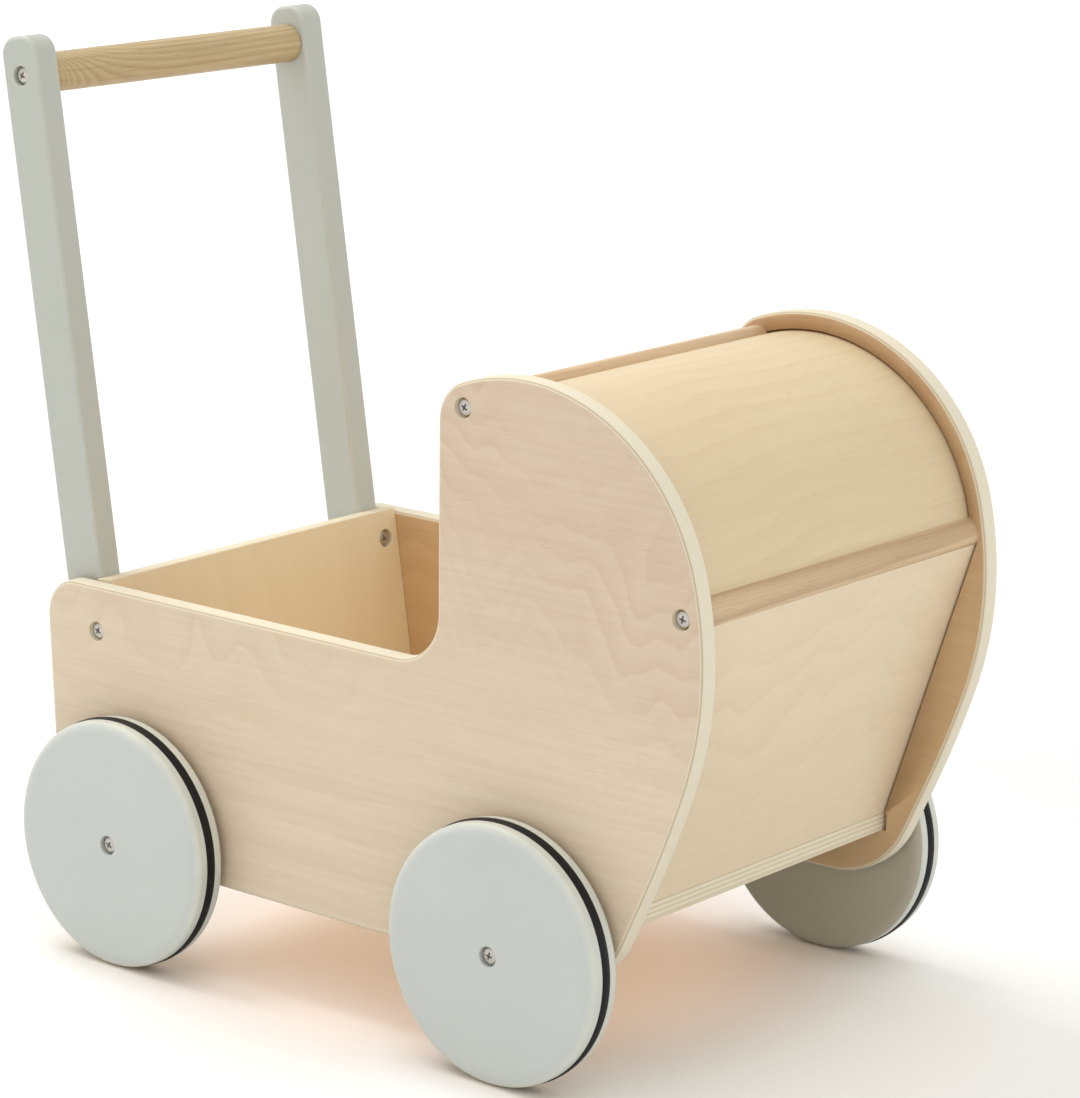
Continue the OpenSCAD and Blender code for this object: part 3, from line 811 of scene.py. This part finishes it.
def rimProfile(rim, width):
    # the rim's outer line from the inner face out to the outer face, with the ring's groove
    down, inward, lip = wheel["roundDown"], wheel["roundIn"], wheel["grooveLip"]
    grooveFloor = rim - wheel["grooveDepth"]
    near = (width - wheel["grooveWidth"]) / 2
    far = near + wheel["grooveWidth"]
    profile = curveOver((rim - inward, down), (inward, down), -90, 0, 8)
    profile += [(rim, near - lip), (rim - 0.3 * lip, near - 0.25 * lip), (rim - lip, near)]
    profile += [(grooveFloor, near), (grooveFloor, far)]
    profile += [(rim - lip, far), (rim - 0.3 * lip, far + 0.25 * lip), (rim, far + lip)]
    return profile + curveOver((rim - inward, width - down), (inward, down), 0, 90, 8)


def makeWheel(label, seed):
    middle, size, sign, innerFace = sided(label + "_wheel")
    rim, width = size.z / 2, size.y
    flatEnd = rim - wheel["roundIn"] - 2 * mm
    bore, pocket, lip = wheel["bore"], wheel["pocket"], wheel["pocketLip"]
    pocketFloor = width - wheel["pocketDepth"]
    profile = [(bore, 0.0)]
    profile += [(r, 0.0) for r in np.linspace(bore + 6 * mm, flatEnd, 5)]
    profile += rimProfile(rim, width)
    profile += [(r, width) for r in np.linspace(flatEnd, pocket + 6 * mm, 5)]
    profile += curveOver((pocket + lip, width - lip), (lip, lip), 90, 180, 3)
    profile += [(pocket, pocketFloor), (bore, pocketFloor)]
    bm = bmesh.new()
    turned(bm, profile, innerFace, side * sign, wheel["steps"])
    made = toObject(bm, pieceName(label, "Wheel"))
    level, rise = wheel["grain"]
    boardGrain(made, middle, (level, 0.0, rise), (-rise, 0.0, level), (0, 1, 0), seed)
    # the paint is lighter on the soft edge, and the inner face gets painted shade
    away = points(made.data) - np.array(middle)
    softEdge = (np.hypot(away[:, 0], away[:, 2]) - (rim - 0.6 * wheel["roundIn"])) / (0.5 * wheel["roundIn"])
    worn = made.data.attributes.new("worn", "FLOAT", "POINT")
    worn.data.foreach_set("value", np.clip(softEdge, 0, 1).astype(np.float32))
    # the face towards the cradle, which gets painted shade
    faceMask(made, "inner", [face.normal.y * sign < -0.5 for face in made.data.polygons])
    evenShading(made)
    settle(made, wheelGrey, label + "_wheel_set", label + "_wheel")


def makeTyre(label):
    size, sign, innerFace = sided(label + "_tyre")[1:]
    outer, width = size.z / 2, size.y
    inner = outer - tyre["proud"] - wheel["grooveDepth"]
    crown, shoulder, chamfer = tyre["crown"], tyre["shoulder"], tyre["chamfer"]
    seam, seamBase = tyre["seam"], outer - tyre["seamHeight"]
    flank = outer - crown - 2 * chamfer
    across = (0.75 * crown, shoulder)
    profile = [(inner, chamfer), (inner + chamfer, 0.0), (flank, 0.0)]
    profile += curveOver((outer - crown, shoulder), across, -90, 0, 5)
    profile += [(seamBase, width * 0.36), (outer, width * 0.5 - seam)]
    profile += [(outer, width * 0.5 + seam), (seamBase, width * 0.64)]
    profile += curveOver((outer - crown, width - shoulder), across, 0, 90, 5)
    profile += [(flank, width), (inner + chamfer, width), (inner, width - chamfer)]
    bm = bmesh.new()
    turned(bm, profile, innerFace, side * sign, wheel["steps"])
    made = toObject(bm, pieceName(label, "Tyre"))
    settle(made, blackRubber, label + "_wheel_set", label + "_tyre")


for wheelSeed, wheelLabel in enumerate(wheelLabels):
    makeWheel(wheelLabel, 10.0 + wheelSeed)
    makeTyre(wheelLabel)
print("wheels ready")


# bolts and screws: a domed head with a cross in it, a shank and, for a screw, a point

head = {
    "radius": 4.25 * mm, "height": 3.0 * mm, "dome": 0.9 * mm,
    "slotLength": 2.15 * mm, "slotWidth": 0.55 * mm,   # from the middle of the cross
    "slotDepth": 1.9 * mm, "fillet": 0.35 * mm,
    "rings": (2.7 * mm, 3.2 * mm, 3.6 * mm, 3.9 * mm, 4.1 * mm, 4.2 * mm),  # that carry the dome
    "chamfer": 0.2 * mm,                               # under the head
    "tip": 0.4 * mm, "bluntEnd": 0.5 * mm,             # of a screw and of a bolt
    "firstTurn": 17, "nextTurn": 53,                   # degrees, how the crosses stand
    "steps": 48,
}
fixings = (  # piece, part, which way the heads face, shank radius, length of the point
    ("axleBolts", "axle_bolts", "sides", 2.5 * mm, 0.0),
    ("hoodBolts", "hood_bolts", "sides", 2.5 * mm, 0.0),
    ("handleBolts", "handle_bolts", "sides", 2.5 * mm, 0.0),
    ("sideScrews", "side_screws", "sides", 2.0 * mm, 5 * mm),
    ("uprightScrews", "upright_screws", "front", 2.0 * mm, 5 * mm),
    ("rearFloorScrews", "rear_floor_screws", "rear", 2.0 * mm, 5 * mm),
)


def looseParts(node):
    bm = bmesh.new()
    bm.from_mesh(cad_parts[node].data)
    bmesh.ops.remove_doubles(bm, verts=bm.verts, dist=0.005 * mm)
    left, found = set(bm.verts), []
    while left:
        part, waiting = [], [left.pop()]
        while waiting:
            v = waiting.pop()
            part.append(tuple(v.co))
            for e in v.link_edges:
                other = e.other_vert(v)
                if other in left:
                    left.discard(other)
                    waiting.append(other)
        found.append(np.array(part))
    bm.free()
    return sorted(found, key=lambda part: tuple(np.round(part.mean(axis=0), 4)))


def domeDrop(r):
    return -head["dome"] * (1 - math.sqrt(max(0.0, 1 - (r / head["radius"]) ** 2)))


def addFixing(bm, top, axis, length, shank, point, turn):
    axis = Vector(axis).normalized()
    first = axis.orthogonal().normalized()
    second = axis.cross(first)

    def at(x, y, h):
        c, s = math.cos(turn), math.sin(turn)
        return bm.verts.new(top + first * (x * c - y * s) + second * (x * s + y * c) + axis * h)

    def ring(r, h):
        angles = [2 * math.pi * k / head["steps"] for k in range(head["steps"])]
        return [at(r * math.cos(angle), r * math.sin(angle), h) for angle in angles]

    def cross(length, half, fillet, h):
        quarter = [(length, -half), (length, half), (half + fillet, half), (half, half + fillet)]
        made = []
        for k in range(4):
            for x, y in quarter:
                for _ in range(k):
                    x, y = -y, x
                made.append(at(x, y, domeDrop(math.hypot(x, y)) if h is None else h))
        return made

    def join(a, b):
        for k in range(len(a)):
            n = (k + 1) % len(a)
            bm.faces.new((a[k], a[n], b[n], b[k]))

    mouth = cross(head["slotLength"], head["slotWidth"], head["fillet"], None)
    floor = cross(head["slotLength"] * 0.5, head["slotWidth"] * 0.6, head["fillet"] * 0.5, -head["slotDepth"])
    join(mouth, floor)
    bm.faces.new(floor)
    loops = [ring(r, domeDrop(r)) for r in (*head["rings"], head["radius"])]
    steps, quarterSteps = head["steps"], head["steps"] // 4
    for k in range(4):  # the flat between the cross and the first ring, one quarter at a time
        corners = [mouth[4 * k + 1], mouth[4 * k + 2], mouth[4 * k + 3], mouth[(4 * k + 4) % 16]]
        arc = [loops[0][(k * quarterSteps + j) % steps] for j in range(1, quarterSteps)]
        bm.faces.new([corners[0], *arc, corners[3], corners[2], corners[1]])
        end = loops[0][k * quarterSteps]
        before = loops[0][(k * quarterSteps - 1) % steps]
        bm.faces.new([mouth[4 * k], before, end, arc[0], mouth[4 * k + 1]])
    radius, under, chamfer, blunt = head["radius"], -head["height"], head["chamfer"], head["bluntEnd"]
    loops += [ring(radius, under + chamfer), ring(radius - chamfer, under), ring(shank, under)]
    if point:
        loops += [ring(shank, point - length), ring(head["tip"], -length)]
    else:
        loops += [ring(shank, blunt - length), ring(shank - blunt, -length)]
    for a, b in zip(loops, loops[1:]):
        join(a, b)
    bm.faces.new(loops[-1])


def makeFixings(name, node, facing, shank, point):
    bm = bmesh.new()
    for k, part in enumerate(looseParts(node)):
        middle = (part.min(axis=0) + part.max(axis=0)) / 2
        axis = {"sides": side * (1 if middle[1] > 0 else -1), "front": leanFront, "rear": -leanFront}[facing]
        first = axis.orthogonal().normalized()
        second = axis.cross(first)
        spans = [part @ np.array(direction) for direction in (first, second, axis)]
        firstMiddle, secondMiddle = ((span.max() + span.min()) / 2 for span in spans[:2])
        top = first * firstMiddle + second * secondMiddle + axis * spans[2].max()
        length = spans[2].max() - spans[2].min()
        turn = math.radians(head["firstTurn"] + head["nextTurn"] * k)
        addFixing(bm, top, axis, length, shank, point, turn)
    made = toObject(bm, name)
    settle(made, zincSteel, "cradle", node)


for fixing in fixings:
    makeFixings(*fixing)
print("bolts and screws ready")


# small parts kept as packed, with their own finish

kept = {
    "axle_spacers": zincSteel, "axle_nuts": zincSteel,
    "hood_inserts": turnedBrass, "handle_inserts": turnedBrass,
}
for wheelLabel in wheelLabels:
    kept[wheelLabel + "_bush"] = plainNylon
for keptNode, keptMaterial in kept.items():
    finish(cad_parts[keptNode], keptMaterial)


# floor, light and camera

studio = {
    "world": 0.95, "worldColour": (1.0, 0.995, 0.985),
    "skyline": 1.06,             # what the camera sees, as bright as the floor far away
    "keyPower": 31.0, "keySize": 1.4, "keyColour": (1.0, 0.98, 0.95),
    "keyPlace": (-1.5, -0.15, 2.5), "keyTarget": (0.1, 0, 0.15),
    "tubPower": 20.0, "tubSize": 0.12, "tubCone": 9.5, "tubBlend": 0.4, "warmColour": (1.0, 0.85, 0.6),
    "tubPlace": (0.35, -0.25, 1.45), "tubTarget": (-0.06, 0.01, 0.13),
    "hoodPower": 0.11, "hoodSize": 0.06,
    "hoodPlace": (0.06, -0.05, 0.25), "hoodTarget": (-0.10, 0.117, 0.12),
    # painted light on the floor, by distance from the middle: a warm glow for the light the wood throws on
    # it, and a plain glow around it
    "glow": (0.335, 0.2, 0.12, 1), "glowFalls": (0.1, 0.24),
    "haze": (0.13, 0.13, 0.11, 1), "plainGlowRises": (0.16, 0.24), "plainGlowFalls": (0.3, 0.5),
    "contactReach": 0.03, "contactShade": (0.87, 0.77, 0.66, 1), "contactPower": 1.5,
    "farWhite": 0.35, "farRises": (0.5, 2.5),     # keeps the backdrop white far away
    "floorSize": 30, "floorTones": ((0.87, 0.87, 0.87, 1), (0.85, 0.85, 0.85, 1)),
}


def makeFloor():
    bm = bmesh.new()
    bmesh.ops.create_grid(bm, x_segments=8, y_segments=8, size=studio["floorSize"])
    mesh = bpy.data.meshes.new("floor")
    bm.to_mesh(mesh)
    bm.free()
    made = bpy.data.objects.new("floor", mesh)
    scene.collection.objects.link(made)
    paper, tree, shader = newMaterial("paleFloor")
    coords = objectCoords(tree)
    black, white = (0, 0, 0, 1), (1, 1, 1, 1)
    soft = clouds(tree, coords, (3.0, 3.0, 3.0), 2.0)
    paleBase = blendColour(tree, soft, *studio["floorTones"])
    shader.inputs["Roughness"].default_value = 0.9
    shader.inputs["Specular IOR Level"].default_value = 0.1
    clear = addNode(tree, "AmbientOcclusion", {"Distance": studio["contactReach"]}, samples=8).outputs["AO"]
    # painted shade: the floor turns a darker warm tone where things touch it
    tree.links.new(blendColour(tree, clear, studio["contactShade"], paleBase), shader.inputs["Base Color"])
    # the two painted glows are for the camera alone, and stop short where things touch the floor
    away = addNode(tree, "VectorMath", {0: coords}, operation="LENGTH").outputs["Value"]
    cameraRay = addNode(tree, "LightPath").outputs["Is Camera Ray"]
    seen = times(tree, calc(tree, "POWER", clear, studio["contactPower"]), cameraRay)
    warm = times(tree, ramp(tree, away, *studio["glowFalls"], 1.0, 0.0), seen)
    rises = ramp(tree, away, *studio["plainGlowRises"])
    wide = times(tree, times(tree, rises, ramp(tree, away, *studio["plainGlowFalls"], 1.0, 0.0)), seen)
    far = ramp(tree, away, *studio["farRises"], 0.0, studio["farWhite"])
    light = blendColour(tree, warm, black, studio["glow"])
    light = blendColour(tree, 1.0, light, blendColour(tree, wide, black, studio["haze"]), "ADD")
    light = blendColour(tree, 1.0, light, blendColour(tree, far, black, white), "ADD")
    tree.links.new(light, shader.inputs["Emission Color"])
    shader.inputs["Emission Strength"].default_value = 1.0
    made.data.materials.append(paper)


def makeWorld():
    world = bpy.data.worlds.new("softStudio")
    world.use_nodes = True
    tree = world.node_tree
    backdrop = tree.nodes["Background"]
    backdrop.inputs[0].default_value = (*studio["worldColour"], 1)
    seen = addNode(tree, "LightPath").outputs["Is Camera Ray"]
    tree.links.new(ramp(tree, seen, 0.0, 1.0, studio["world"], studio["skyline"]), backdrop.inputs[1])
    scene.world = world


def placeLamp(name, kind, label, colour):
    lamp = bpy.data.lights.new(name, kind)
    lamp.energy, lamp.color = studio[label + "Power"], colour
    made = bpy.data.objects.new(name, lamp)
    made.location = studio[label + "Place"]
    towards = Vector(studio[label + "Target"]) - made.location
    made.rotation_euler = towards.to_track_quat("-Z", "Y").to_euler()
    scene.collection.objects.link(made)
    return lamp


def makeLight():
    placeLamp("key", "AREA", "key", studio["keyColour"]).size = studio["keySize"]
    beam = placeLamp("tubFill", "SPOT", "tub", studio["warmColour"])
    beam.shadow_soft_size = studio["tubSize"]
    beam.spot_size, beam.spot_blend = math.radians(studio["tubCone"]), studio["tubBlend"]
    placeLamp("hoodFill", "AREA", "hood", studio["warmColour"]).size = studio["hoodSize"]


shot = {"place": (1.39957, -1.64113, 0.76412), "turn": 39.612, "tilt": 13.837, "roll": 0.614, "lens": 133.35}


def makeCamera():
    a, e, r = (math.radians(shot[k]) for k in ("turn", "tilt", "roll"))
    back = Vector((math.sin(a) * math.cos(e), -math.cos(a) * math.cos(e), math.sin(e)))
    right = (-back).cross(Vector((0, 0, 1))).normalized()
    up = right.cross(-back)
    rolledRight = right * math.cos(r) + up * math.sin(r)
    rolledUp = up * math.cos(r) - right * math.sin(r)
    camera = bpy.data.objects.new("camera", bpy.data.cameras.new("camera"))
    camera.data.lens = shot["lens"]
    camera.data.sensor_width = 36
    camera.data.clip_end = 200
    turn = Matrix((rolledRight, rolledUp, back)).transposed().to_4x4()
    camera.matrix_world = Matrix.Translation(shot["place"]) @ turn
    scene.collection.objects.link(camera)
    scene.camera = camera


makeFloor()
makeWorld()
makeLight()
makeCamera()
scene.view_settings.view_transform = "Standard"
print("floor, light and camera ready")
